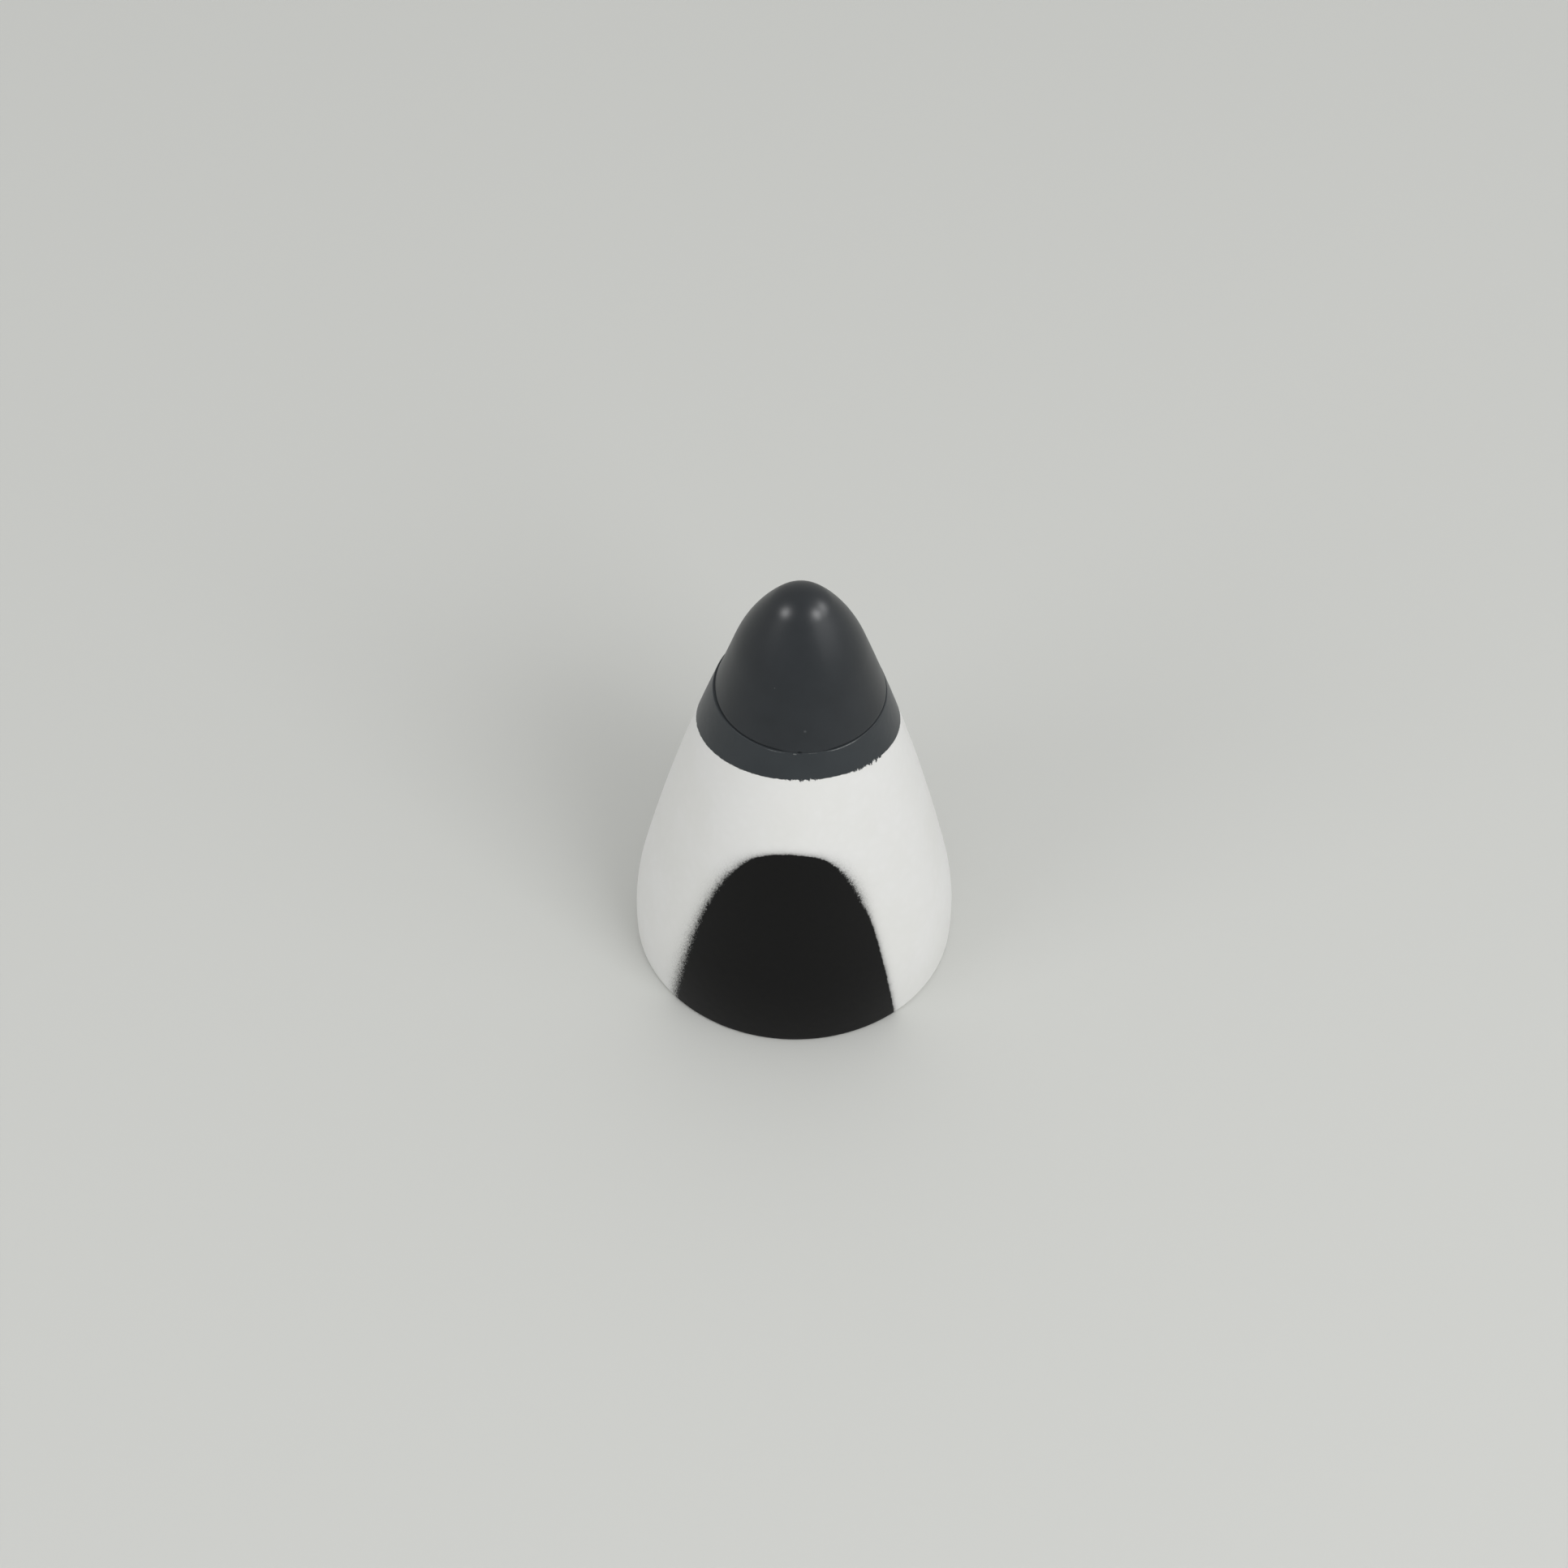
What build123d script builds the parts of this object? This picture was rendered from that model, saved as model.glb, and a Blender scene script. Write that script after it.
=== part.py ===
from build123d import *
import os

# Nose cone of a foam model jet, standing on its flat joint face.
# The aircraft's long axis is +Z with the nose tip up, the origin is the centre of the joint face,
# and the upper side of the aircraft, which carries the dark glare panel, looks towards -Y.
# A moulded foam shell steps down to a spigot near the tip, a thin hard cap is glued over that
# spigot, and four disc magnets in the joint face hold the cone on the fuselage.

# Outside shape
base_radius = 35.0  # joint face, the same as the fuselage at that station
overall_height = 107.0  # joint face to nose tip
base_edge_radius = 0.8  # rounded edge that foam keeps where the mould closes

# Shape of the nose curve: a round tip, then three arcs that run smoothly into each other
# The two places where those arcs meet are given as shares of the curve's own radius and height
tip_radius = 8.6
tip_turn = 50.3  # how far the tip's arc turns before the next one takes over
nose_out, nose_up = 0.414, 0.84
flank_out, flank_up = 0.967, 0.181

# Hard cap and the spigot under it
cap_length = 29.3  # rim to nose tip
seam_gap = 0.35  # open joint between the cap's rim and the foam shoulder
cap_wall = 1.0
cap_edge_radius = 0.3
glue_gap = 0.1  # adhesive film between cap and spigot
shoulder_edge_radius = 0.4

# Hollow: a round mouth that slips over the fuselage spigot, then a tapering cavity
foam_wall = 10.0  # at the joint face
mouth_depth = 6.0
mouth_edge_radius = 0.8
mouth_ledge = 1.5  # step from the mouth in to the cavity wall
cavity_roof = 11.35  # from the foam shoulder down to the end of the cavity
cavity_tip_radius = 5.0

# Disc magnets let into the joint face
magnet_count = 4
magnet_radius = 3.0
magnet_thickness = 3.0
magnet_edge = 0.25
magnet_recess = 0.2  # below the joint face, so that the foam faces meet first
magnet_clearance = 0.1
first_magnet_angle = 45.0

rim_height = overall_height - cap_length
seam_height = rim_height - seam_gap  # top of the foam shoulder
mouth_radius = base_radius - foam_wall
cavity_radius = mouth_radius - mouth_ledge
cavity_height = seam_height - cavity_roof - mouth_depth
magnet_circle_radius = (base_radius + mouth_radius) / 2
pocket_radius = magnet_radius + magnet_clearance
pocket_depth = magnet_recess + magnet_thickness
section_reach = 2 * base_radius  # width of a cut that clears the half section


def nose_curve(radius, height, round_tip, foot=0.0):
    """Draw half of a nose outline from its tip on the axis down to (radius, foot)."""
    tip_arc = JernArc((0, foot + height), (1, 0), round_tip, -tip_turn)
    nose_end = (radius * nose_out, foot + height * nose_up)
    nose_arc = TangentArc(tip_arc @ 1, nose_end, tangent=tip_arc % 1)
    flank_end = (radius * flank_out, foot + height * flank_up)
    flank_arc = TangentArc(nose_arc @ 1, flank_end, tangent=nose_arc % 1)
    TangentArc(flank_arc @ 1, (radius, foot), tangent=flank_arc % 1)


os.makedirs("parts", exist_ok=True)

# Outline of the whole nose, from which the cap and the foam both take their walls
with BuildLine() as outline:
    nose_curve(base_radius, overall_height, tip_radius)


def half_section(surface):
    """Half section between a nose surface and the axis, closed level with the surface's foot."""
    with BuildSketch() as half:
        with BuildLine():
            add(surface)
            Polyline(surface @ 1, (0, (surface @ 1).Y), surface @ 0)
        make_face()
    return half.sketch


def inset_surface(depth):
    """The outline moved evenly inwards by the depth."""
    with BuildLine() as inner:
        offset(outline.line, amount=depth, side=Side.RIGHT, closed=False)
    return inner.line


# Hard cap: the tip of the nose as an even shell, turned from its half section
with BuildPart() as nose_cap:
    with BuildSketch(Plane.XZ) as cap_section:
        add(half_section(outline.line))
        add(half_section(inset_surface(cap_wall)), mode=Mode.SUBTRACT)
        Rectangle(section_reach, rim_height, align=(Align.MIN, Align.MIN), mode=Mode.SUBTRACT)
        rim_corners = cap_section.vertices().group_by(Axis.Y)[0]
        fillet(rim_corners.sort_by(Axis.X)[-1], cap_edge_radius)
    revolve(axis=Axis.Z)
nose_cap.part.label = "nose_cap"
export_step(nose_cap.part, "parts/nose_cap.step")

# Foam body: shoulder and spigot below the cap, hollowed from the joint face
with BuildPart() as foam_body:
    with BuildSketch(Plane.XZ) as foam_section:
        add(half_section(outline.line))
        with Locations((0, seam_height)):
            Rectangle(section_reach, overall_height, align=(Align.MIN, Align.MIN), mode=Mode.SUBTRACT)
        add(half_section(inset_surface(cap_wall + glue_gap)))
        with BuildLine():
            nose_curve(cavity_radius, cavity_height, cavity_tip_radius, mouth_depth)
            Polyline(
                (cavity_radius, mouth_depth),
                (mouth_radius, mouth_depth),
                (mouth_radius, 0),
                (0, 0),
                (0, mouth_depth + cavity_height),
            )
        make_face(mode=Mode.SUBTRACT)
        corners = foam_section.vertices()
        fillet(corners.sort_by_distance((base_radius, 0))[0], base_edge_radius)
        fillet(corners.sort_by_distance((mouth_radius, 0))[0], mouth_edge_radius)
        shoulder_corners = corners.filter_by_position(Axis.Y, seam_height - glue_gap, seam_height + glue_gap)
        fillet(shoulder_corners.sort_by(Axis.X)[-1], shoulder_edge_radius)
    revolve(axis=Axis.Z)

    # Pockets for the magnets, open at the joint face
    with BuildSketch(Plane.XY):
        with PolarLocations(magnet_circle_radius, magnet_count, first_magnet_angle):
            Circle(pocket_radius)
    extrude(amount=pocket_depth, mode=Mode.SUBTRACT)
foam_body.part.label = "foam_body"
export_step(foam_body.part, "parts/foam_body.step")

# Disc magnets, each against the floor of its pocket
for index in range(magnet_count):
    magnet_angle = first_magnet_angle + index * 360 / magnet_count
    with BuildPart() as magnet:
        with BuildSketch(Plane.XY.offset(magnet_recess)):
            with PolarLocations(magnet_circle_radius, 1, magnet_angle):
                Circle(magnet_radius)
        extrude(amount=magnet_thickness)
        chamfer(magnet.edges(), magnet_edge)
    magnet.part.label = f"magnet_{index + 1}"
    export_step(magnet.part, f"parts/magnet_{index + 1}.step")

print("cap volume", round(nose_cap.part.volume), "foam volume", round(foam_body.part.volume))
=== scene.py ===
# %% [markdown]
# # A foam nose cone for a model jet
# The cone stands on the flat face that joins the fuselage, with its tip up. It is a moulded foam
# shell with a mouth and a hollow underneath, a thin hard cap that is glued over a spigot at the
# tip, and four disc magnets that are let into the joint face. White paint covers the foam, a
# matt black panel keeps glare out of the cockpit, and a grey band carries the cap's colour on.
# The CAD model is loaded first. It fixes where everything is, and this script only dresses it.

import math

import bmesh
import bpy
import numpy as np
from mathutils import Matrix, Vector


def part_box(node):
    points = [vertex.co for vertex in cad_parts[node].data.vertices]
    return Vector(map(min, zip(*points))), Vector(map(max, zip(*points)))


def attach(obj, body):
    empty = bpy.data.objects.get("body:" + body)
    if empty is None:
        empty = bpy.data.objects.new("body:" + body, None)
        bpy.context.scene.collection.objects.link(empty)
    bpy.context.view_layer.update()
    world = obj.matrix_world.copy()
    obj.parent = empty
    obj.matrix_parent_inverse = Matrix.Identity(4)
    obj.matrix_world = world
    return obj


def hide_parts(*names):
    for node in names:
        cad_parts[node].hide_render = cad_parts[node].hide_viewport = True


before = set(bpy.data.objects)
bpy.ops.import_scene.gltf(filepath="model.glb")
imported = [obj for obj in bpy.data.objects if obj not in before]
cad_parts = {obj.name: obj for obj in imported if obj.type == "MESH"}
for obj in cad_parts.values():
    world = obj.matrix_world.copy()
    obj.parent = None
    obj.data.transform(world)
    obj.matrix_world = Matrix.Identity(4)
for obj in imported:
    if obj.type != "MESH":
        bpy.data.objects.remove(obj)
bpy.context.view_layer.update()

# %% [markdown]
# ## The outline that everything shares
# A real nose cone like this is turned or carved from one drawing, and the mould for the foam and
# the mould for the cap both follow that drawing. So the outline comes first here too. It is a
# small round tip and three long arcs, each of which leaves the last one in the same direction,
# so the eye finds no corner. A spline would be another way, but arcs give an exact normal at
# every point, and moving a point along its normal gives the inside of a wall of even thickness.

# %% Arcs that run smoothly into each other
MM = 0.001  # one millimetre in the frame's metres
BASE_RADIUS, HEIGHT, TIP_RADIUS = 35.0, 107.0, 8.6  # all lengths here are in millimetres
TIP_TURN = math.radians(50.3)  # how far the tip's arc turns
NOSE_END, FLANK_END = (0.414, 0.84), (0.967, 0.181)  # arcs meet here: shares of radius, height


def arc(start, direction, end, count=900):
    """Points and outward normals of the arc that leaves start along direction and reaches end.

    Its centre is square to direction, at chord squared over twice the chord's part on that side.
    That radius is negative where the arc bends outwards, and its centre is then outside.
    """
    start, direction, end = (np.asarray(p, float) for p in (start, direction, end))
    chord, inside = end - start, np.array([direction[1], -direction[0]])
    radius = chord @ chord / (2 * chord @ inside)
    centre = start + radius * inside
    first, last = (math.atan2(p[1], p[0]) for p in (start - centre, end - centre))
    angle = np.linspace(first, last, count)
    from_centre = np.stack([np.cos(angle), np.sin(angle)], axis=1)
    return centre + abs(radius) * from_centre, math.copysign(1, radius) * from_centre


def nose_curve(radius, height, round_tip, foot=0.0):
    """Half of a nose outline from the tip on the axis to (radius, foot), and its normals."""
    after_tip = (
        round_tip * math.sin(TIP_TURN),
        foot + height - round_tip * (1 - math.cos(TIP_TURN)),
    )
    stops = [after_tip] + [
        (radius * out, foot + height * up) for out, up in (NOSE_END, FLANK_END, (1.0, 0.0))
    ]
    place, direction, points, normals = (0.0, foot + height), (1.0, 0.0), [], []
    for stop in stops:
        run, normal = arc(place, direction, stop)
        points.append(run)
        normals.append(normal)
        place, direction = run[-1], (normal[-1][1], -normal[-1][0])
    return np.concatenate(points), np.concatenate(normals)


outline, outline_normal = nose_curve(BASE_RADIUS, HEIGHT, TIP_RADIUS)
outline_length = np.r_[0, np.cumsum(np.hypot(*np.diff(outline, axis=0).T))]
print("outline", round(outline_length[-1], 2), "mm long, widest", round(outline[:, 0].max(), 3))


# %% Walls that lie a given depth inside the outline
def on_outline(length, depth=0.0):
    """Radius and height, length from the tip along the outline and depth in along its normal."""
    return tuple(
        np.interp(length, outline_length, outline[:, k])
        - depth * np.interp(length, outline_length, outline_normal[:, k])
        for k in (0, 1)
    )


def length_at(height, depth=0.0):
    """How far along the outline the wall at that depth reaches a height."""
    walls = outline[:, 1] - depth * outline_normal[:, 1]
    return np.interp(-np.asarray(height, float), -walls, outline_length)


def rounded(corner, into, out, radius, count=6):
    """Radius and height of a rounded corner between a line that comes in and one that goes out.

    The circle starts radius times the tangent of half the turn before the corner, and a point on
    it is start + radius (sin t into + (1 - cos t) side), for t from zero to the whole turn.
    """
    into, out = (np.asarray(v, float) / np.linalg.norm(v) for v in (into, out))
    turn = math.acos(np.clip(into @ out, -1, 1))
    side = np.array([into[1], -into[0]]) * (-1 if into[0] * out[1] - into[1] * out[0] > 0 else 1)
    t = np.linspace(0, turn, count)[:, None]
    return tuple(
        corner[k]
        - radius * math.tan(turn / 2) * into[k]
        + radius * (np.sin(t) * into[k] + (1 - np.cos(t)) * side[k])
        for k in (0, 1)
    )


def smooth(x, low, high):
    """Zero below low, one above high, and between them three t squared less two t cubed."""
    t = np.clip((x - low) / (high - low), 0, 1)
    return t * t * (3 - 2 * t)


# %% [markdown]
# ## What hand work does to the shape
# Foam comes out of its mould a little uneven, and the cap was glued on by hand. Its rim is not
# quite level, the gap below it is open at one side and closed at the front, where glue and paint
# bridge it but for one small nick, and the painted foam stands a little proud of the cap. All of
# this could be painted on, but from the side only real geometry shows it, so each effect is a
# function of the angle round the cone and the height, and every wall asks the same functions.

# %% Waves, rim, gap and step as functions of the angle
TURNS = 384  # columns round the cone, a multiple of eight so that the four magnets fit the grid
angle = np.arange(TURNS) * 2 * math.pi / TURNS  # from the panel's middle, growing towards +X
SEAM_HEIGHT, SEAM_GAP = 77.35, 0.35
WAVE_HALF = 0.04  # mean depth of the foam's waves
RIM_LEAN = 0.5
BRIDGE_AT, BRIDGE_REACH = 9.5, 22.0  # where glue and paint bridge the seam, in degrees
NICK_AT, NICK_REACH = 5.5, 1.8  # the small nick left open in the bridge
GAP_OPEN, GAP_BRIDGED = 0.25, 0.006  # the seam's mean width where it is open, and where bridged
STEP_ALL, STEP_LEFT = 0.08, 0.30  # the cap's step all round, and what is added at the left
STEP_AT, STEP_REACH, STEP_FADES = -112.0, 75.0, (79.0, 96.0)  # degrees, and the fade's heights


def round_to(degrees_, centre, reach):
    """One at an angle and zero beyond reach from it: a smooth hill round the cone, in degrees."""
    off = (degrees_ - centre + 180) % 360 - 180
    return 1 - smooth(np.abs(off), 0.35 * reach, reach)


def wave(a, z):
    """How far the foam lies inside its drawing: three slow sine waves, 0 to 0.08 mm."""
    mixed = (
        0.45 * np.sin(2 * a + 0.7) * np.cos(z / 17 + 0.4)
        + 0.33 * np.sin(3 * a + z / 21 + 2.1)
        + 0.22 * np.sin(5 * a - z / 9)
    )
    return WAVE_HALF * (1 + mixed)


def rim_height(a):
    """Height of the cap's rim: level but for a lean of half a millimetre towards +X."""
    return SEAM_HEIGHT + SEAM_GAP - RIM_LEAN * np.sin(a)


def openness(a):
    """One where the seam is open, zero at the front where it is bridged, but for a small nick."""
    d = np.degrees(a)
    return 1 - round_to(d, BRIDGE_AT, BRIDGE_REACH) * (1 - round_to(d, NICK_AT, NICK_REACH))


def gap(a):
    """Width of the seam: widest at the left, and a hair's breadth where it is bridged."""
    wide = GAP_OPEN - 0.07 * np.sin(a) + 0.03 * np.sin(5 * a + 1.0)
    return GAP_BRIDGED + (wide - GAP_BRIDGED) * openness(a)


def step(a, z):
    """How far the cap and its spigot lie inside the drawing: most at the left, fading upwards."""
    at_seam = STEP_ALL + STEP_LEFT * round_to(np.degrees(a), STEP_AT, STEP_REACH)
    return at_seam * (1 - smooth(z, *STEP_FADES))


print("gap from", round(gap(angle).min(), 2), "to", round(gap(angle).max(), 2), "mm")

# %% [markdown]
# ## A wall turned on the axis
# Spin or Screw would turn a profile too, but a grid of numbers lets the profile change with the
# angle. Rows run along the profile and columns run round the axis. The profile always travels
# down the outside and back up the inside, so every face of the grid points out of the material.

# %% Grids, faces and finished pieces
MERGE_WITHIN = 0.002  # points of a seam or pole nearer than this are one


def grid_points(r, z, a=angle):
    """Points of a turned grid: radius and height per row and column, angle per column."""
    r, z = (np.broadcast_to(v, (len(v), len(a))) for v in (r, z))
    return np.stack([r * np.sin(a), -r * np.cos(a), z], axis=2)


def grid_faces(rows, columns, first=0):
    """Quads between neighbouring rows and columns of a grid that closes on itself."""
    i, j = np.meshgrid(np.arange(rows - 1), np.arange(columns), indexing="ij")
    k = (j + 1) % columns
    corners = [i * columns + j, (i + 1) * columns + j, (i + 1) * columns + k, i * columns + k]
    return np.stack(corners, axis=2) + first


def make_piece(name, points, faces, finish, stands_for, crease=42.0):
    """One closed mesh in metres from points in mm and quads, with seams and poles merged.

    finish gives a material number for each face. Edges turn sharp above the crease angle.
    """
    mesh = bpy.data.meshes.new(name)
    mesh.from_pydata((points * MM).tolist(), [], faces.tolist())
    mesh.polygons.foreach_set("material_index", np.asarray(finish, np.int32))
    mesh.polygons.foreach_set("use_smooth", np.ones(len(faces), bool))
    shape = bmesh.new()
    shape.from_mesh(mesh)
    bmesh.ops.remove_doubles(shape, verts=shape.verts, dist=MERGE_WITHIN * MM)
    open_edges = sum(not e.is_manifold for e in shape.edges)
    volume = shape.calc_volume(signed=True)
    shape.to_mesh(mesh)
    shape.free()
    mesh.set_sharp_from_angle(angle=math.radians(crease))
    piece = bpy.data.objects.new(name, mesh)
    bpy.context.scene.collection.objects.link(piece)
    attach(piece, "root")
    if stands_for:
        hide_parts(stands_for)
    triangles = sum(len(p.vertices) - 2 for p in mesh.polygons)
    print(name, triangles, "triangles,", open_edges, "open edges,", round(volume * 1e6, 3), "cm3")
    return piece


def vertex_places(piece):
    """Angle in degrees, radius and height in mm of every vertex."""
    co = np.empty(len(piece.data.vertices) * 3, np.float32)
    piece.data.vertices.foreach_get("co", co)
    x, y, z = co.reshape(-1, 3).astype(float).T / MM
    return np.degrees(np.arctan2(x, -y)), np.hypot(x, y), z


def remember(piece, name, values):
    """Keeps one number per vertex on the mesh, for its material to read."""
    field = piece.data.attributes.new(name, "FLOAT", "POINT")
    field.data.foreach_set("value", np.asarray(values, np.float32))


# %% [markdown]
# ## The foam body
# The foam is one moulding: a spigot that the cap sits on, a narrow shoulder, the long outside
# wall, the joint face, a mouth that slips over the fuselage, and a hollow that saves weight. Its
# profile is worked out in that order as rows of radius and height. Moulded foam has no knife
# edges, so every corner gets a small round, the largest where the wall meets the joint face.

# %% Rows of the foam's profile
CAP_WALL, GLUE_FILM = 1.0, 0.1
BASE_ROUND, SHOULDER_ROUND, MOUTH_ROUND, LEDGE_ROUND = 0.8, 0.2, 0.8, 0.4
MOUTH_RADIUS, MOUTH_DEPTH, CAVITY_RADIUS, CAVITY_HEIGHT, CAVITY_TIP = 25.0, 6.0, 23.5, 60.0, 5.0
LEAST_ROUND = 0.06  # share of an edge's round that is left where the seam is bridged


def spread(low, high, count, bunch=0.0):
    """Rows from low to high, evenly or, with bunch up to one, closer together near low."""
    t = np.linspace(0, 1, count)[:, None]
    t = (1 - bunch) * t + bunch * t * t
    return low + (high - low) * t


shoulder = rim_height(angle) - gap(angle)
spigot = spread(0.0, length_at(shoulder, CAP_WALL + GLUE_FILM), count=26, bunch=0.5)
spigot_r, spigot_z = on_outline(spigot, CAP_WALL + GLUE_FILM)
spigot_r = np.maximum(spigot_r - step(angle, spigot_z), 0.0)
spigot_r[0] = 0.0

wall_top = length_at(shoulder)
top_r, top_z = on_outline(wall_top)
ahead_r, ahead_z = on_outline(wall_top + 1.0)
wall_way = (float((ahead_r - top_r).mean()), float((ahead_z - top_z).mean()))
edge_rounds = LEAST_ROUND + (1 - LEAST_ROUND) * openness(angle)
edge_r, edge_z = rounded((top_r, top_z), (1.0, 0.0), wall_way, SHOULDER_ROUND * edge_rounds)

foot_way = (outline_normal[-1][1], -outline_normal[-1][0])
base_r, base_z = rounded((BASE_RADIUS, 0.0), foot_way, (-1.0, 0.0), BASE_ROUND, count=8)
edge_end = length_at(edge_z[-1])
foot_start = length_at(base_z[0])
wall_r, wall_z = on_outline(spread(edge_end, foot_start, count=126)[1:-1])

mouth_r, mouth_z = rounded((MOUTH_RADIUS, 0.0), (-1.0, 0.0), (0.0, 1.0), MOUTH_ROUND, count=7)
face_r = spread(float(base_r[-1, 0]), float(mouth_r[0, 0]), count=16)[1:-1]
inner_corner, ledge_corner = (MOUTH_RADIUS, MOUTH_DEPTH), (CAVITY_RADIUS, MOUTH_DEPTH)
inner_r, inner_z = rounded(inner_corner, (0.0, 1.0), (-1.0, 0.0), LEDGE_ROUND, count=5)
ledge_r, ledge_z = rounded(ledge_corner, (-1.0, 0.0), (0.0, 1.0), LEDGE_ROUND, count=5)
bore_z = spread(MOUTH_ROUND, MOUTH_DEPTH - LEDGE_ROUND, count=8)[1:-1]
bore_r = np.full_like(bore_z, MOUTH_RADIUS)

hollow, _ = nose_curve(CAVITY_RADIUS, CAVITY_HEIGHT, CAVITY_TIP, MOUTH_DEPTH)
hollow = hollow[::-1]
hollow_length = np.r_[0, np.cumsum(np.hypot(*np.diff(hollow, axis=0).T))]
hollow_at = spread(hollow_length[-1], 2 * LEDGE_ROUND, count=38, bunch=0.35)[::-1]
hollow_r, hollow_z = (np.interp(hollow_at, hollow_length, hollow[:, k]) for k in (0, 1))

# %% The foam's grid, pushed in by the waves
OUTSIDE, BARE = 0, 1  # painted foam, and foam as it came from the mould
profile = [
    (spigot_r, spigot_z, OUTSIDE),
    (edge_r, edge_z, OUTSIDE),
    (wall_r, wall_z, OUTSIDE),
    (base_r, base_z, OUTSIDE),
    (face_r, face_r * 0, BARE),
    (mouth_r, mouth_z, BARE),
    (bore_r, bore_z, BARE),
    (inner_r, inner_z, BARE),
    (ledge_r, ledge_z, BARE),
    (hollow_r, hollow_z, BARE),
]
row_count = [len(r) for r, _, _ in profile]
foam_r = np.concatenate([np.broadcast_to(r, (len(r), TURNS)) for r, _, _ in profile])
foam_z = np.concatenate([np.broadcast_to(z, (len(z), TURNS)) for _, z, _ in profile])
row_finish = np.concatenate([np.full(len(r), finish) for r, _, finish in profile])
first_outer = row_count[0]
last_outer = first_outer + sum(row_count[1:4])
painted_rows = slice(first_outer, last_outer)
foam_r[painted_rows] -= wave(angle, foam_z[painted_rows])
foam_points = grid_points(foam_r, foam_z)
print(len(foam_points), "rows by", TURNS, "columns, widest", round(foam_r.max(), 3), "mm")

# %% [markdown]
# ## Pockets for the magnets
# A Boolean could cut the four round pockets, but it leaves long thin faces in the flat joint
# face. Here a patch of the grid is left out for each pocket, and new rings lead from the patch's
# outline to the pocket's circle, up its wall and over its floor to the middle. The outline's
# points are put in order by their angle about the pocket, so each ring pairs up with the next.

# %% Rings from a patch of the joint face into a pocket
MAGNETS, MAGNET_CIRCLE, FIRST_MAGNET = 4, 30.0, 45.0
MAGNET_RADIUS, MAGNET_HEIGHT, MAGNET_RECESS, MAGNET_PLAY = 3.0, 3.0, 0.2, 0.1
POCKET_ROUND = 0.2
FLAT_RINGS = np.array([0.0, 0.35, 0.7])[:, None, None]  # shares of the way from patch to circle
FLOOR_RINGS = np.array([0.9, 0.66, 0.33, 0.0])  # shares of the pocket's radius
face_first, face_last = last_outer - 1, last_outer + row_count[4]  # rows that bound the joint face
HALF_PATCH = 9  # columns on each side of a pocket's middle
keep = np.ones((len(foam_points) - 1, TURNS), bool)  # faces of the turned grid that stay


def pocket(middle_column, first):
    """Points and quads of one pocket: rings that shrink from a patch's outline to the middle.

    It also takes the patch's own faces out of keep.
    """
    columns = (middle_column + np.arange(-HALF_PATCH, HALF_PATCH + 1)) % TURNS
    keep[face_first:face_last, columns[:-1]] = False
    patch = foam_points[face_first : face_last + 1][:, columns]
    border = np.concatenate([patch[0], patch[-1], patch[1:-1, 0], patch[1:-1, -1]])
    a = angle[middle_column]
    middle = MAGNET_CIRCLE * np.array([math.sin(a), -math.cos(a)])
    turn = np.arctan2(border[:, 1] - middle[1], border[:, 0] - middle[0])
    order = np.argsort(turn)
    border, turn = border[order], turn[order]
    radius = MAGNET_RADIUS + MAGNET_PLAY
    floor = MAGNET_RECESS + MAGNET_HEIGHT
    lip_r, lip_z = rounded((radius, 0.0), (-1.0, 0.0), (0.0, 1.0), POCKET_ROUND, count=4)
    ring_r = np.r_[lip_r.ravel(), radius, radius, radius * FLOOR_RINGS]
    ring_z = np.r_[lip_z.ravel(), 0.5 * floor, floor, np.full(len(FLOOR_RINGS), floor)]
    rings = np.stack(
        [
            middle[0] + ring_r[:, None] * np.cos(turn),
            middle[1] + ring_r[:, None] * np.sin(turn),
            np.broadcast_to(ring_z[:, None], (len(ring_r), len(turn))),
        ],
        axis=2,
    )
    flat = border[None] * (1 - FLAT_RINGS) + rings[:1] * FLAT_RINGS
    points = np.concatenate([flat, rings])
    return points.reshape(-1, 3), grid_faces(len(points), len(turn), first).reshape(-1, 4)


points, faces = [foam_points.reshape(-1, 3)], []
for number in range(MAGNETS):
    column = round((FIRST_MAGNET + number * 360 / MAGNETS) / 360 * TURNS)
    new_points, new_faces = pocket(column, sum(map(len, points)))
    points.append(new_points)
    faces.append(new_faces)
wall_faces = grid_faces(len(foam_points), TURNS)[keep]
wall_finish = np.broadcast_to(row_finish[1:, None], keep.shape)[keep]
foam = make_piece(
    "foam_skin",
    np.concatenate(points),
    np.concatenate([wall_faces, *faces]),
    np.r_[wall_finish, np.full(sum(map(len, faces)), BARE)],
    "foam_body",
)

# %% [markdown]
# ## The hard cap
# The cap is a thin shell, blown or moulded in dark plastic, with a wall of even thickness and a
# small round at its rim. It follows the same outline as the foam, and its inside follows the
# spigot at the depth of the wall. Solidify could thicken a single surface, but the profile with
# both walls costs nothing more, and the rim's round comes out exact.

# %% Cap from the tip, over the rim and up inside
RIM_ROUND = 0.3
rim = rim_height(angle)
cap_rim_r, cap_rim_z = on_outline(length_at(rim))
lip_r, lip_z = rounded((cap_rim_r, cap_rim_z), wall_way, (-1.0, 0.0), RIM_ROUND * edge_rounds)
cap_r, cap_z = on_outline(spread(0.0, length_at(lip_z[0]), count=96, bunch=0.4)[:-1])
inside = spread(0.0, length_at(rim, CAP_WALL), count=40, bunch=0.4)[::-1]
inside_r, inside_z = on_outline(inside, CAP_WALL)
shell_r = np.concatenate([np.broadcast_to(r, (len(r), TURNS)) for r in (cap_r, lip_r, inside_r)])
shell_z = np.concatenate([np.broadcast_to(z, (len(z), TURNS)) for z in (cap_z, lip_z, inside_z)])
shell_r = np.maximum(shell_r - step(angle, shell_z), 0.0)
shell_points = grid_points(shell_r, shell_z)
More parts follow.
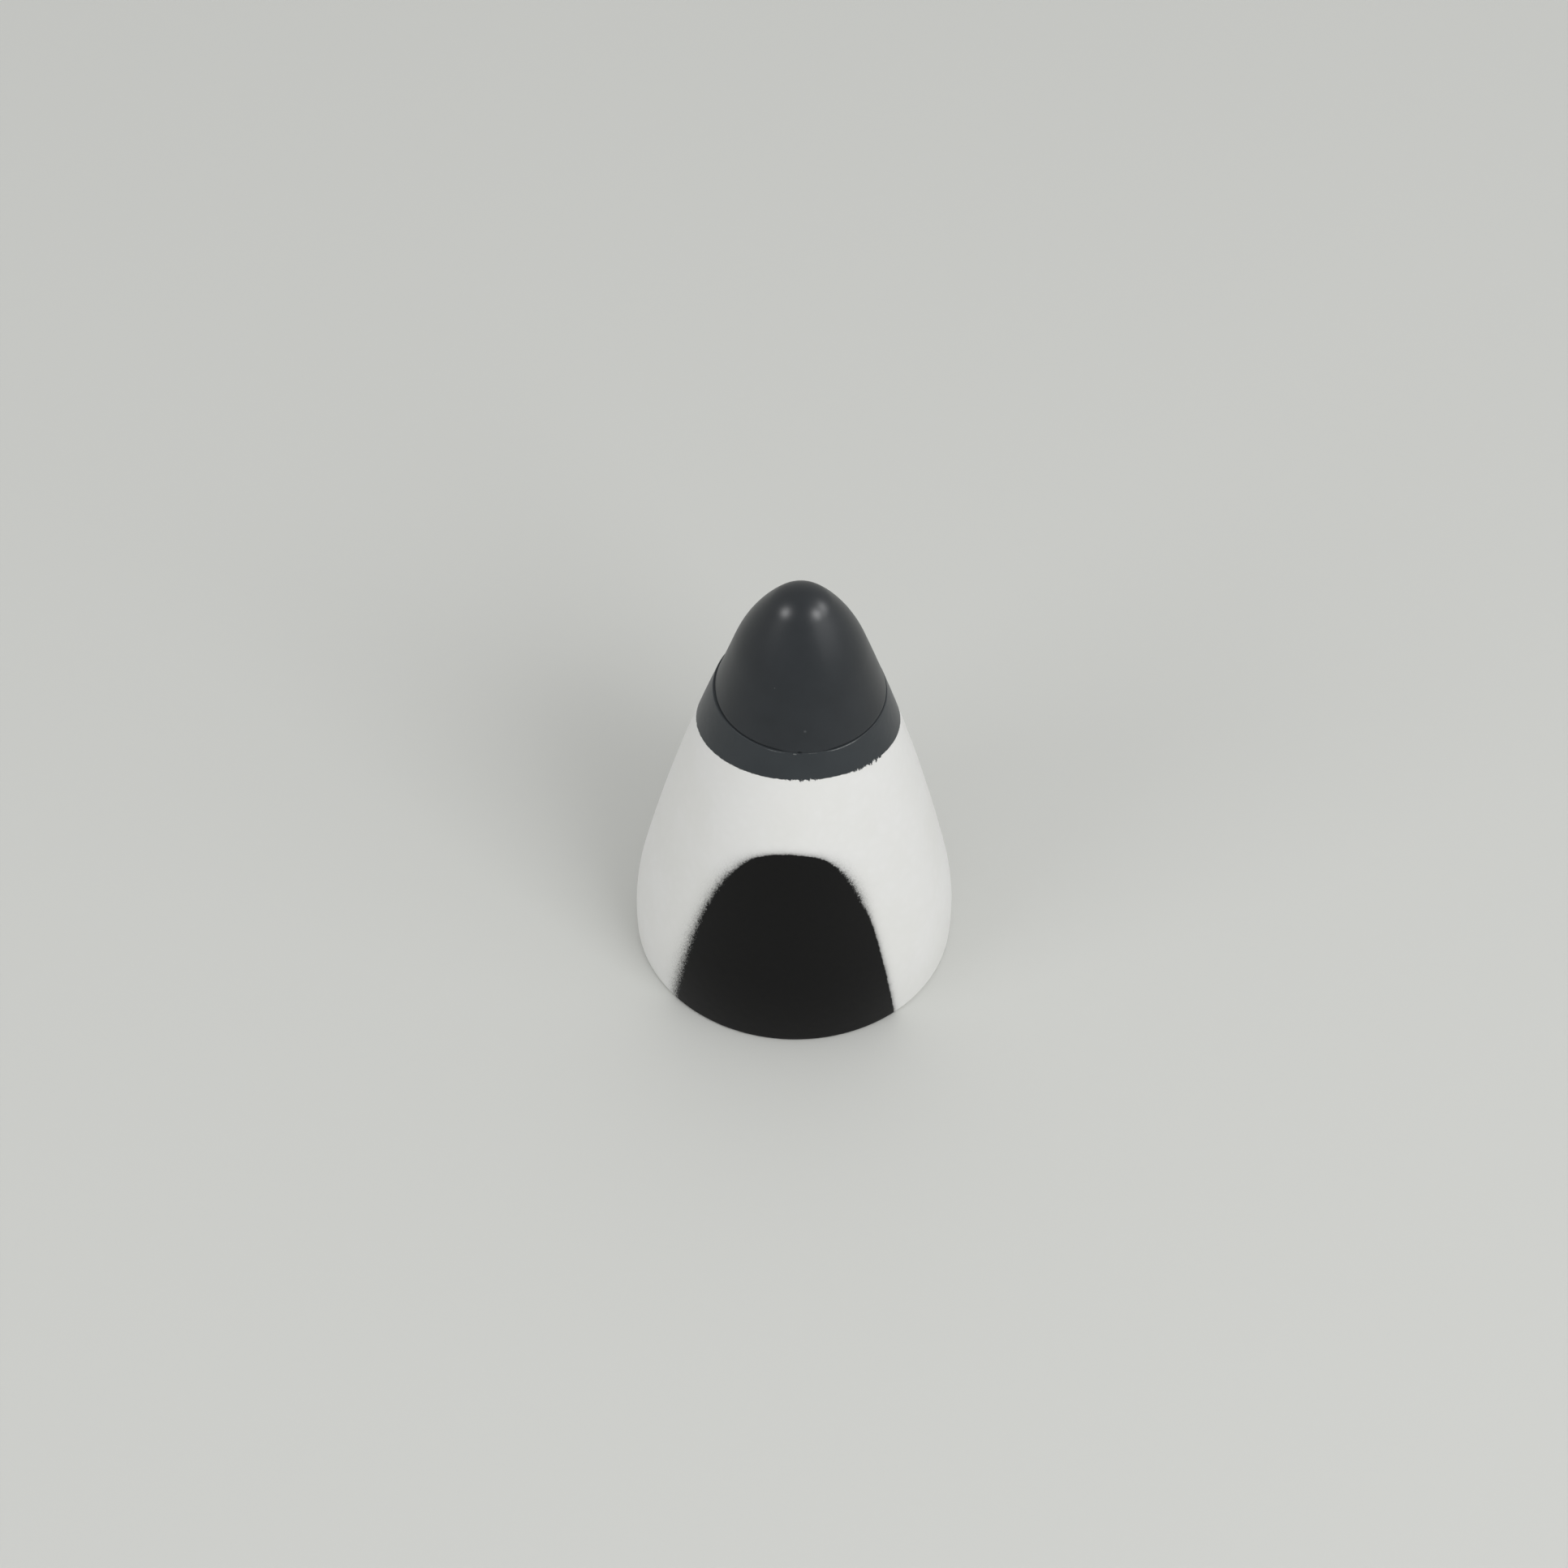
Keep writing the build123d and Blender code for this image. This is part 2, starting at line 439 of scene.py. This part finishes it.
shell_faces = grid_faces(len(shell_points), TURNS).reshape(-1, 4)
cap = make_piece(
    "cap_shell",
    shell_points.reshape(-1, 3),
    shell_faces,
    np.zeros(len(shell_faces)),
    "nose_cap",
)

# %% [markdown]
# ## Magnets and a bead of glue
# Disc magnets are pressed from powder, ground flat and plated, which leaves a small round at each
# edge and a face that is very slightly dished near its rim. One bead of glue was squeezed out at
# the front of the seam. It is a small lump with an uneven outline: a ball whose radius changes
# with its two angles, pressed flat against the wall.

# %% Discs with rounded edges
DISC_TURNS, DISC_ROUND, DISC_DISH = 72, 0.28, 0.015
disc_angle = np.arange(DISC_TURNS) * 2 * math.pi / DISC_TURNS
low, high = MAGNET_RECESS, MAGNET_RECESS + MAGNET_HEIGHT
upper_r, upper_z = rounded((MAGNET_RADIUS, high), (1.0, 0.0), (0.0, -1.0), DISC_ROUND, count=7)
lower_r, lower_z = rounded((MAGNET_RADIUS, low), (0.0, -1.0), (-1.0, 0.0), DISC_ROUND, count=7)
flat_r = np.array([0.0, 0.8, 1.6, 2.2, 2.5])[:, None]
dish = DISC_DISH * smooth(flat_r, 1.2, 2.5) * (1 - smooth(flat_r, 2.45, 2.6))
disc_r = np.concatenate([flat_r, upper_r, lower_r, flat_r[::-1]])
disc_z = np.concatenate([high + 0 * flat_r, upper_z, lower_z, low + dish[::-1]])
disc = grid_points(disc_r, disc_z, disc_angle)
disc_faces = grid_faces(len(disc), DISC_TURNS).reshape(-1, 4)
magnets = []
for number in range(MAGNETS):
    a = math.radians(FIRST_MAGNET + number * 360 / MAGNETS)  # the CAD counts them from +X
    centre = MAGNET_CIRCLE * np.array([math.cos(a), math.sin(a), 0.0])
    node = f"magnet_{number + 1}"
    low_corner, high_corner = (np.array(c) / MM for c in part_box(node))
    off = np.hypot(*((low_corner + high_corner) / 2 - centre)[:2])
    print(node, "is", round(float(off), 4), "mm off its CAD place")
    magnets.append(
        make_piece(
            f"magnet_disc_{number + 1}",
            disc.reshape(-1, 3) + centre,
            disc_faces,
            np.zeros(len(disc_faces)),
            node,
        )
    )

# %% A squeezed bead of glue
BEAD_TURNS, BEAD_ROWS = 48, 25
BEAD_AT, BEAD_HALF = 2.4, (0.34, 0.10, 0.2)  # degrees; half the width, depth and height in mm
BEAD_BELOW_RIM, BEAD_PROUD = 0.3, 0.02  # where its middle lies
across = np.arange(BEAD_TURNS) * 2 * math.pi / BEAD_TURNS
down = np.linspace(0, math.pi, BEAD_ROWS)[:, None]
lump = 1 + 0.12 * np.sin(3 * across + 1) * np.sin(down) ** 2
lump = lump + 0.1 * np.cos(2 * across) * np.sin(down)
ball = [
    BEAD_HALF[0] * lump * np.sin(down) * np.cos(across),
    BEAD_HALF[1] * lump * np.sin(down) * np.sin(across),
    BEAD_HALF[2] * np.cos(down) * np.ones(BEAD_TURNS),
]
a = math.radians(BEAD_AT)
bead_height = float(rim_height(a)) - BEAD_BELOW_RIM
bead_radius = float(on_outline(length_at(bead_height))[0]) + BEAD_PROUD
outward = np.array([math.sin(a), -math.cos(a), 0])
sideways = np.array([math.cos(a), math.sin(a), 0])
bead_points = (
    outward * bead_radius
    + np.array([0, 0, bead_height])
    + ball[0][..., None] * sideways
    + ball[1][..., None] * outward
    + ball[2][..., None] * np.array([0, 0, 1.0])
)
bead_faces = grid_faces(BEAD_ROWS, BEAD_TURNS).reshape(-1, 4)[:, ::-1]
bead = make_piece(
    "glue_bead", bead_points.reshape(-1, 3), bead_faces, np.zeros(len(bead_faces)), None
)

# %% [markdown]
# ## Where the paint goes
# The panel and the band were masked and sprayed, so their edges are lines on the surface and not
# changes of shape. Each vertex keeps its distance in millimetres from such a line, worked out
# from its angle and height. Distances blend evenly from vertex to vertex, so the material can
# draw an edge far finer than the mesh, and it can make it crisp, soft or ragged as it likes. How
# soft, how ragged and how worn an edge is changes round the cone, so each vertex keeps that too.

# %% Distances to the painted edges
PANEL_MIDDLE, PANEL_LEAN = 3.121, -0.0867  # mm to the right at the top, mm of height per mm across
PANEL_LEFT, PANEL_RIGHT, PANEL_TOP = 29.78, 24.74, 53.12  # half widths and height in mm
PANEL_SIDES, PANEL_CROWN = (2.501, 2.382), 1.153  # powers, as in a superellipse
BAND_HEIGHT, BAND_LEAN, BAND_TOWARDS = 66.63, math.tan(math.radians(12.45)), 6.8
CRISP, SOFT_LEFT, SOFT_LOW_LEFT, SOFT_HIGH_RIGHT = 0.35, 1.2, 0.9, 0.8  # mm of fading edge


def panel_distance(a, r, z):
    """Distance inside the outline (across / half)^p + (height / top)^q = 1 on the unrolled wall.

    It is how far that sum is below one, over how fast the sum grows along the surface. Height
    leans with the distance across, and the half width and its power differ left and right.
    """
    along = np.radians(a) * r
    across = along - PANEL_MIDDLE
    up = np.maximum(z - PANEL_LEAN * along, 0.02) / PANEL_TOP
    half = np.where(across < 0, PANEL_LEFT, PANEL_RIGHT)
    power = np.where(across < 0, *PANEL_SIDES)
    u = np.abs(across) / half
    growth_up = PANEL_CROWN * up ** (PANEL_CROWN - 1) / PANEL_TOP
    growth_across = np.sign(across) * power * u ** (power - 1) / half - PANEL_LEAN * growth_up
    steepness = np.maximum(np.hypot(growth_across, growth_up), 0.01)
    return np.clip((1 - u**power - up**PANEL_CROWN) / steepness, -8, 8)


def band_distance(a, r, z):
    """Height above the band's edge, a plane that leans, so the band is narrowest at the front."""
    edge = BAND_HEIGHT + BAND_LEAN * r * np.cos(np.radians(a - BAND_TOWARDS))
    return (z - edge) * math.cos(math.atan(BAND_LEAN))


a, r, z = vertex_places(foam)
r = np.maximum(r, 0.1)
to_panel = panel_distance(a, r, z)
remember(foam, "panel_edge", to_panel)
left = round_to(a, -50, 40)
low_left = round_to(a, -42, 60) * (1 - smooth(z, 14, 34))
high_right = round_to(a, 34, 16) * smooth(z, 30, 40)
softness = CRISP + SOFT_LEFT * left + SOFT_HIGH_RIGHT * high_right + SOFT_LOW_LEFT * low_left
remember(foam, "panel_soft", softness)

crept = round_to(a, 50, 17)  # where the band's paint crept under its mask
remember(foam, "band_edge", band_distance(a, r, z) + 0.2 * crept)
ragged = 4.2 * crept + 2.2 * round_to(a, 7, 16) + 1.5 * round_to(a, -80, 8)
remember(foam, "band_ragged", ragged)

shoulder_height = rim_height(np.radians(a)) - gap(np.radians(a))
remember(foam, "below_seam", np.clip(shoulder_height - z, -1.0, 4.0))
# Where the pale line under the seam shows: mostly a painted highlight, strongest at the right where
# the shoulder's edge catches light, and partly worn paint.
glint_wear_place = round_to(a, 36, 14) + 0.5 * round_to(a, -11, 8) + 0.4 * round_to(a, 14, 4)
remember(foam, "edge_glint_wear", glint_wear_place)
print("panel covers", round(100 * float((to_panel > 0).mean()), 1), "% of the vertices")

# %% [markdown]
# ## Finishes
# Every finish is a Principled shader whose colour, roughness and small relief come from noise in
# object coordinates, so they sit in the material like grain and look the same from all sides.
# Image textures would need pictures; noise needs none, and its scale can be said in millimetres.

# %% Helpers for materials
def colour(red, green, blue):
    """A colour from its 0 to 255 values on a screen, as the linear numbers that light works in."""
    values = np.array([red, green, blue]) / 255
    return (*np.where(values < 0.04045, values / 12.92, ((values + 0.055) / 1.055) ** 2.4), 1.0)


def add(tree, kind, feeds=None, **settings):
    """A node with its settings, and its inputs fed by values or by other nodes' outputs."""
    made = tree.nodes.new(kind)
    for key, value in settings.items():
        setattr(made, key, value)
    for key, value in (feeds or {}).items():
        if isinstance(value, bpy.types.NodeSocket):
            tree.links.new(value, made.inputs[key])
        else:
            made.inputs[key].default_value = value
    return made


def start_material(name, roughness, specular, metallic=0.0):
    """A material with its tree, its shader and the object coordinates."""
    material = bpy.data.materials.new(name)
    material.use_nodes = True
    tree = material.node_tree
    shader = tree.nodes["Principled BSDF"]
    shader.inputs["Roughness"].default_value = roughness
    shader.inputs["Specular IOR Level"].default_value = specular
    shader.inputs["Metallic"].default_value = metallic
    place = tree.nodes.new("ShaderNodeTexCoord").outputs["Object"]
    return material, tree, shader, place


def noise(tree, place, size_mm, detail=2.0, sharpness=0.5):
    """Soft noise from 0 to 1 whose lumps are about size_mm across."""
    feeds = {"Vector": place, "Scale": 1 / (size_mm * MM), "Detail": detail, "Roughness": sharpness}
    return add(tree, "ShaderNodeTexNoise", feeds).outputs[0]


def cells(tree, place, size_mm, edge_mm):
    """Packed beads: 0 in the creases between cells about size_mm wide, 1 beyond edge_mm of them."""
    wander = add(tree, "ShaderNodeTexNoise", {"Vector": place, "Scale": 0.6 / (size_mm * MM)})
    bent = add(
        tree,
        "ShaderNodeVectorMath",
        {0: wander.outputs["Color"], 1: (size_mm * MM * 0.5,) * 3, 2: place},
        operation="MULTIPLY_ADD",
    )
    feeds = {"Vector": bent.outputs[0], "Scale": 1 / (size_mm * MM)}
    creases = add(tree, "ShaderNodeTexVoronoi", feeds, feature="DISTANCE_TO_EDGE")
    return between(tree, creases.outputs["Distance"], 0.0, edge_mm / size_mm)


def between(tree, value, low, high, to_low=0.0, to_high=1.0, kind="SMOOTHSTEP"):
    """A value carried smoothly from one range to another, and held at its ends."""
    feeds = {"Value": value, 1: low, 2: high, 3: to_low, 4: to_high}
    return add(tree, "ShaderNodeMapRange", feeds, interpolation_type=kind).outputs[0]


def reckon(tree, operation, *values):
    """One step of arithmetic on numbers or sockets."""
    return add(tree, "ShaderNodeMath", dict(enumerate(values)), operation=operation).outputs[0]


def blend(tree, share, under, over):
    """under where the share is zero, over where it is one; for colours."""
    feeds = {0: share, 6: under, 7: over}
    return add(tree, "ShaderNodeMix", feeds, data_type="RGBA").outputs[2]


def relief(tree, height, depth_mm, under=None):
    """A normal bent by a height from 0 to 1 that stands for depth_mm of relief."""
    feeds = {"Strength": 1.0, "Distance": depth_mm * MM, "Height": height}
    if under is not None:
        feeds["Normal"] = under
    return add(tree, "ShaderNodeBump", feeds).outputs[0]


# %% [markdown]
# ### Painted foam
# The white is a thin water-based paint, so the imported beads of the foam still show through it as
# a faint pebbling, in small relief and in painted shade that darkens the creases between them.
# The black panel is matter than the white. Its left edge and its right shoulder were sprayed
# without a tight mask, so they fade over a millimetre in fine speckles, and the rest is nearly
# crisp. All round it hangs a thin haze of stray paint, which falls off evenly, as an exponential
# does. The band is grey. It crept under its mask at the right and in front, where noise that is
# stretched upright draws the tiny hairs. Just under its upper edge runs a pale, broken line,
# partly worn paint and partly a painted highlight where that edge catches light, strongest at
# the right. Painting these by hand would take a picture; distances and noise take none.

# %% White, panel and band on one skin
WHITE, BLACK, GREY = colour(223, 223, 222), colour(9, 9, 9), colour(49, 53, 56)
SPECKLE_SIZE, SPECKLE = 0.36, 2.1  # the sprayed edge: mm across a speckle, and how far it throws
WAVER_SIZE, WAVER = 2.2, 0.5  # the masked edge's slow wander in mm
HAZE, HAZE_REACH, HAZE_SPREAD = 0.6, 0.5, 0.25  # at the edge, mm to fall off, more where it is soft
HAIR_SIZE, HAIR_UPRIGHT = 0.75, 0.4  # the band's hairs: mm across, and their stretch
GLINT_WEAR_BELOW, GLINT_WEAR_HALF = 0.16, (0.02, 0.12)  # the pale line, painted highlight and wear: mm below the seam, and half its width
painted, tree, shader, place = start_material("sprayed_foam", 0.6, 0.15)
shader.inputs["Sheen Weight"].default_value = 0.12
shader.inputs["Sheen Roughness"].default_value = 0.4


def kept(name):
    """A number that the mesh keeps for each vertex."""
    return add(tree, "ShaderNodeAttribute", attribute_name=name).outputs["Fac"]


grain = noise(tree, place, 0.25, detail=3.0, sharpness=0.6)
mottle = noise(tree, place, 14.0, detail=2.0)
beads = cells(tree, place, size_mm=3.2, edge_mm=1.5)

soft = kept("panel_soft")
spray = reckon(tree, "SUBTRACT", noise(tree, place, SPECKLE_SIZE, detail=3.0, sharpness=0.7), 0.5)
spray = reckon(tree, "MULTIPLY", spray, soft)
waver = reckon(tree, "SUBTRACT", noise(tree, place, WAVER_SIZE, detail=2.0), 0.5)
waver = reckon(tree, "MULTIPLY", waver, WAVER)
thrown = reckon(tree, "MULTIPLY_ADD", spray, SPECKLE, waver)
panel_at = reckon(tree, "ADD", kept("panel_edge"), thrown)
panel_in = reckon(tree, "DIVIDE", panel_at, soft)
reach = reckon(tree, "MULTIPLY_ADD", soft, HAZE_SPREAD, HAZE_REACH)
drift = reckon(tree, "MINIMUM", reckon(tree, "DIVIDE", panel_at, reach), 0.0)
haze = reckon(tree, "MULTIPLY", reckon(tree, "EXPONENT", drift), HAZE)
panel = reckon(tree, "MAXIMUM", between(tree, panel_in, -0.6, 0.6), haze)

feeds = {"Vector": place, "Scale": (1.0, 1.0, HAIR_UPRIGHT)}
upright = add(tree, "ShaderNodeMapping", feeds).outputs[0]
hairs = reckon(tree, "SUBTRACT", noise(tree, upright, HAIR_SIZE, detail=4.0, sharpness=0.75), 0.5)
torn = reckon(tree, "MULTIPLY", hairs, reckon(tree, "ADD", kept("band_ragged"), 0.5))
band = between(tree, reckon(tree, "ADD", kept("band_edge"), torn), -0.08, 0.08)

white = blend(tree, between(tree, mottle, 0.35, 0.65), WHITE, colour(221, 221, 219))
# Painted shade: the white is a little darker in the creases between the beads.
creases = reckon(tree, "MULTIPLY_ADD", beads, -0.08, 0.08)
white = blend(tree, creases, white, colour(205, 206, 201))
black = blend(tree, between(tree, grain, 0.3, 0.7), BLACK, colour(13, 13, 13))
grey = blend(tree, between(tree, mottle, 0.3, 0.7), GREY, colour(53, 57, 60))
# A pale, broken line along the shoulder's edge: painted highlight where that edge catches light,
# and partly worn paint.
off_line = reckon(tree, "ABSOLUTE", reckon(tree, "SUBTRACT", kept("below_seam"), GLINT_WEAR_BELOW))
line = between(tree, off_line, *GLINT_WEAR_HALF, to_low=1.0, to_high=0.0)
crumbs = noise(tree, place, 0.5, detail=3.0, sharpness=0.6)
broken = between(tree, crumbs, 0.4, 0.6, to_low=0.3, to_high=0.9)
glint_wear_share = reckon(tree, "MULTIPLY", reckon(tree, "MULTIPLY", line, broken), kept("edge_glint_wear"))
grey = blend(tree, glint_wear_share, grey, colour(128, 130, 130))
skin = blend(tree, band, blend(tree, panel, white, black), grey)
tree.links.new(skin, shader.inputs["Base Color"])

matt = reckon(tree, "MULTIPLY_ADD", panel, 0.1, reckon(tree, "MULTIPLY_ADD", grain, 0.12, 0.6))
matt = reckon(tree, "MULTIPLY_ADD", band, -0.26, matt)
tree.links.new(matt, shader.inputs["Roughness"])
bent = relief(tree, beads, depth_mm=0.014)
bent = relief(tree, grain, depth_mm=0.006, under=bent)
coat = reckon(tree, "MAXIMUM", panel, band)
bent = relief(tree, coat, depth_mm=0.03, under=bent)
tree.links.new(bent, shader.inputs["Normal"])

# %% [markdown]
# ### Bare foam
# Underneath, the foam is as it left the mould. The beads that steam fused together show as
# rounded cells a few millimetres wide, with fine creases between them that hold a little shade.

# %% Fused beads
bare, tree, shader, place = start_material("bare_foam", 0.7, 0.25)
beads = cells(tree, place, size_mm=3.0, edge_mm=0.45)
cloud = noise(tree, place, 9.0)
patches = between(tree, cloud, 0.3, 0.7)
foam_white = blend(tree, patches, colour(226, 226, 220), colour(218, 218, 211))
foam_white = blend(tree, beads, colour(205, 205, 198), foam_white)
tree.links.new(foam_white, shader.inputs["Base Color"])
matt = between(tree, beads, 0.0, 1.0, to_low=0.8, to_high=0.6)
tree.links.new(matt, shader.inputs["Roughness"])
bent = relief(tree, beads, depth_mm=0.05)
bent = relief(tree, noise(tree, place, 0.3), depth_mm=0.01, under=bent)
tree.links.new(bent, shader.inputs["Normal"])
for material in (painted, bare):
    foam.data.materials.append(material)

# %% [markdown]
# ### Satin plastic of the cap
# The cap is dark grey and half glossy, so lamps show in it as small soft spots near the tip and
# its flanks turn lighter towards their outline. Handling leaves faint clouds in the gloss, a few
# specks of dust and one small scuff, placed by its distance from a point on the cap.

# %% Satin grey
SCUFF_AT, SCUFF_HEIGHT = 9.3, 82.6  # one small scuff: degrees round the cap, and height in mm
SCUFF_RADII, SCUFF_UNEVEN = (0.35, 0.5), 0.4  # mm: where it fades, and how much noise moves that
SCUFF_STRENGTH = 0.16
plastic, tree, shader, place = start_material("satin_plastic", 0.36, 0.36)
cloud = noise(tree, place, 11.0, detail=3.0)
fine = noise(tree, place, 0.5, detail=2.0)
tone = blend(tree, between(tree, cloud, 0.3, 0.7), colour(29, 33, 37), colour(34, 38, 42))
dots = add(tree, "ShaderNodeTexVoronoi", {"Vector": place, "Scale": 1 / (2.6 * MM)})
dust = between(tree, dots.outputs["Distance"], 0.02, 0.06, to_low=0.25, to_high=0.0)
picked = between(tree, noise(tree, place, 3.0), 0.60, 0.66)
tone = blend(tree, reckon(tree, "MULTIPLY", dust, picked), tone, colour(150, 150, 148))
a = math.radians(SCUFF_AT)
scuff_r, scuff_z = (float(v) for v in on_outline(length_at(SCUFF_HEIGHT), 0.08))
scuff = (scuff_r * math.sin(a) * MM, -scuff_r * math.cos(a) * MM, scuff_z * MM)
distance = add(tree, "ShaderNodeVectorMath", {0: place, 1: scuff}, operation="DISTANCE")
away = reckon(tree, "MULTIPLY_ADD", fine, SCUFF_UNEVEN * MM, distance.outputs["Value"])
fade = [radius * MM for radius in SCUFF_RADII]
near = between(tree, away, *fade, to_low=SCUFF_STRENGTH, to_high=0.0)
tone = blend(tree, near, tone, colour(140, 141, 142))
tree.links.new(tone, shader.inputs["Base Color"])
matt = between(tree, cloud, 0.25, 0.75, to_low=0.34, to_high=0.38)
tree.links.new(matt, shader.inputs["Roughness"])
bent = relief(tree, cloud, depth_mm=0.02)
bent = relief(tree, fine, depth_mm=0.0015, under=bent)
tree.links.new(bent, shader.inputs["Normal"])
cap.data.materials.append(plastic)

# %% [markdown]
# ### Nickel and dried glue
# Nickel plate mirrors its surroundings but for fine grinding marks under it, so its roughness
# changes in thin streaks. The glue dried clear and pale, with a slight skin.

# %% Nickel plate
nickel, tree, shader, place = start_material("nickel_plate", 0.2, 0.5, metallic=1.0)
stretched = add(tree, "ShaderNodeMapping", {"Vector": place, "Scale": (1.0, 14.0, 3.0)}).outputs[0]
streaks = noise(tree, stretched, 3.0, detail=4.0, sharpness=0.7)
cloud = noise(tree, place, 2.0)
tone = blend(tree, cloud, (0.60, 0.58, 0.54, 1.0), (0.68, 0.66, 0.62, 1.0))
tree.links.new(tone, shader.inputs["Base Color"])
matt = between(tree, streaks, 0.3, 0.7, to_low=0.14, to_high=0.3)
tree.links.new(matt, shader.inputs["Roughness"])
tree.links.new(relief(tree, streaks, depth_mm=0.002), shader.inputs["Normal"])
for disc_piece in magnets:
    disc_piece.data.materials.append(nickel)

# %% Dried glue
glue, tree, shader, place = start_material("dried_glue", 0.28, 0.5)
cloud = noise(tree, place, 0.3)
tone = blend(tree, cloud, colour(74, 77, 79), colour(104, 107, 108))
tree.links.new(tone, shader.inputs["Base Color"])
matt = between(tree, cloud, 0.3, 0.7, to_low=0.22, to_high=0.4)
tree.links.new(matt, shader.inputs["Roughness"])
tree.links.new(relief(tree, cloud, depth_mm=0.02), shader.inputs["Normal"])
bead.data.materials.append(glue)

# %% [markdown]
# ## Studio
# The cone stands on a plain pale floor under a pale sky, which gives two thirds of the light. A
# large window at the right front and a weaker one at the left give the rest: they face the way
# that the two soft shadows on the floor lead back to. The satin cap mirrors smaller lamps near its
# tip, and two wide, dim glows lift its flanks. Cycles lets a lamp skip one kind of ray, so the
# windows only light and the lamps and glows only shine, and each can be set by what it does. The
# sky and the windows together come to about one on the floor, so colours render about as they
# are written.

# %% Floor and surroundings
FLOOR_SIZE, FLOOR_DROP = 6.0, 0.00002  # metres; the drop keeps it clear of the joint face
half = FLOOR_SIZE / 2
floor_mesh = bpy.data.meshes.new("floor")
corners = [(-half, -half), (half, -half), (half, half), (-half, half)]
floor_mesh.from_pydata([(x, y, -FLOOR_DROP) for x, y in corners], [], [(0, 1, 2, 3)])
floor = bpy.data.objects.new("floor", floor_mesh)
bpy.context.scene.collection.objects.link(floor)
pale, _, shader, _ = start_material("pale_floor", 0.9, 0.1)
shader.inputs["Base Color"].default_value = colour(207, 208, 205)
floor_mesh.materials.append(pale)

SKY_LEVEL = 0.66
world = bpy.data.worlds.new("studio")
bpy.context.scene.world = world
world.use_nodes = True
sky = world.node_tree.nodes["Background"]
sky.inputs["Color"].default_value = (1.0, 1.0, 0.99, 1.0)
sky.inputs["Strength"].default_value = SKY_LEVEL

# %% Windows that light and lamps that shine
CAMERA_TURN = math.radians(4.6)  # the camera looks at the panel from a little towards +X


def turned(vector):
    """A vector turned about the vertical axis by the camera's turn."""
    return Matrix.Rotation(CAMERA_TURN, 3, "Z") @ Vector(vector)


def soft_box(name, direction, distance, width, height, level, shines):
    """A flat lamp that adds level to a surface which faces it: watts are level pi^2 distance^2.

    One that shines shows in gloss and gives no other light, and one that doesn't only lights.
    """
    lamp = bpy.data.lights.new(name, "AREA")
    lamp.shape, lamp.size, lamp.size_y = "RECTANGLE", width, height
    lamp.energy = level * math.pi**2 * distance**2
    holder = bpy.data.objects.new(name, lamp)
    way = turned(direction).normalized()
    holder.location = way * distance + Vector((0, 0, HEIGHT * MM))
    holder.rotation_mode = "QUATERNION"
    holder.rotation_quaternion = way.to_track_quat("Z", "Y")
    holder.visible_camera = False
    holder.visible_glossy = shines
    holder.visible_diffuse = not shines
    bpy.context.scene.collection.objects.link(holder)
    print(name, "shines" if shines else f"gives {level * way.z:.3f} on the floor")


soft_box("window_right", (0.507, -0.604, 0.616), 1.7, 0.9, 0.9, 0.355, shines=False)
soft_box("window_right_low", (0.821, -0.383, 0.423), 1.7, 0.9, 0.9, 0.09, shines=False)
soft_box("window_left", (-0.742, -0.520, 0.423), 1.7, 0.9, 0.9, 0.16, shines=False)
soft_box("lamp_left", (-0.685, -0.153, 0.708), 1.4, 0.40, 0.44, 0.50, shines=True)
soft_box("lamp_right_front", (0.68, -0.20, 0.70), 1.5, 0.42, 0.48, 0.52, shines=True)
soft_box("lamp_right_back", (0.80, 0.28, 0.53), 1.5, 0.42, 0.48, 0.27, shines=True)
soft_box("lamp_right_low", (0.90, 0.06, 0.43), 1.5, 0.44, 0.50, 0.07, shines=True)
soft_box("glow_right", (0.82, -0.38, 0.42), 1.7, 1.4, 1.2, 0.20, shines=True)
soft_box("glow_left", (-0.82, -0.38, 0.42), 1.7, 0.9, 0.9, 0.03, shines=True)

# %% [markdown]
# ## Camera
# The photograph looks down at the cone from the front at about 49 degrees, with a long lens. The
# angle, the roll and the distance were found by matching the cone's outline, its foot, the seam
# and the band's edge in the picture to the drawing, and the numbers below are that match.

# %% A camera at the photograph's angle
LOOK_DOWN, ROLL = math.radians(49.352), math.radians(1.198)
LENS, SENSOR = 111.8, 36.0
CAMERA_PLACE = (-0.0028148, -0.690473, 0.8502283)  # before the camera's turn
camera_data = bpy.data.cameras.new("camera")
camera_data.lens, camera_data.sensor_width = LENS, SENSOR
camera_data.sensor_fit = "HORIZONTAL"
camera_data.clip_start, camera_data.clip_end = 0.05, 50.0
camera = bpy.data.objects.new("camera", camera_data)
bpy.context.scene.collection.objects.link(camera)
right = Vector((1, 0, 0))
up = Vector((0, math.sin(LOOK_DOWN), math.cos(LOOK_DOWN)))
across = turned(math.cos(ROLL) * right + math.sin(ROLL) * up)
upright = turned(-math.sin(ROLL) * right + math.cos(ROLL) * up)
back = across.cross(upright)
axes = Matrix((across, upright, back)).transposed().to_4x4()
camera.matrix_world = Matrix.Translation(turned(CAMERA_PLACE)) @ axes
bpy.context.scene.camera = camera
bpy.context.scene.view_settings.view_transform = "Standard"
print("camera looks along", [round(v, 3) for v in -back])
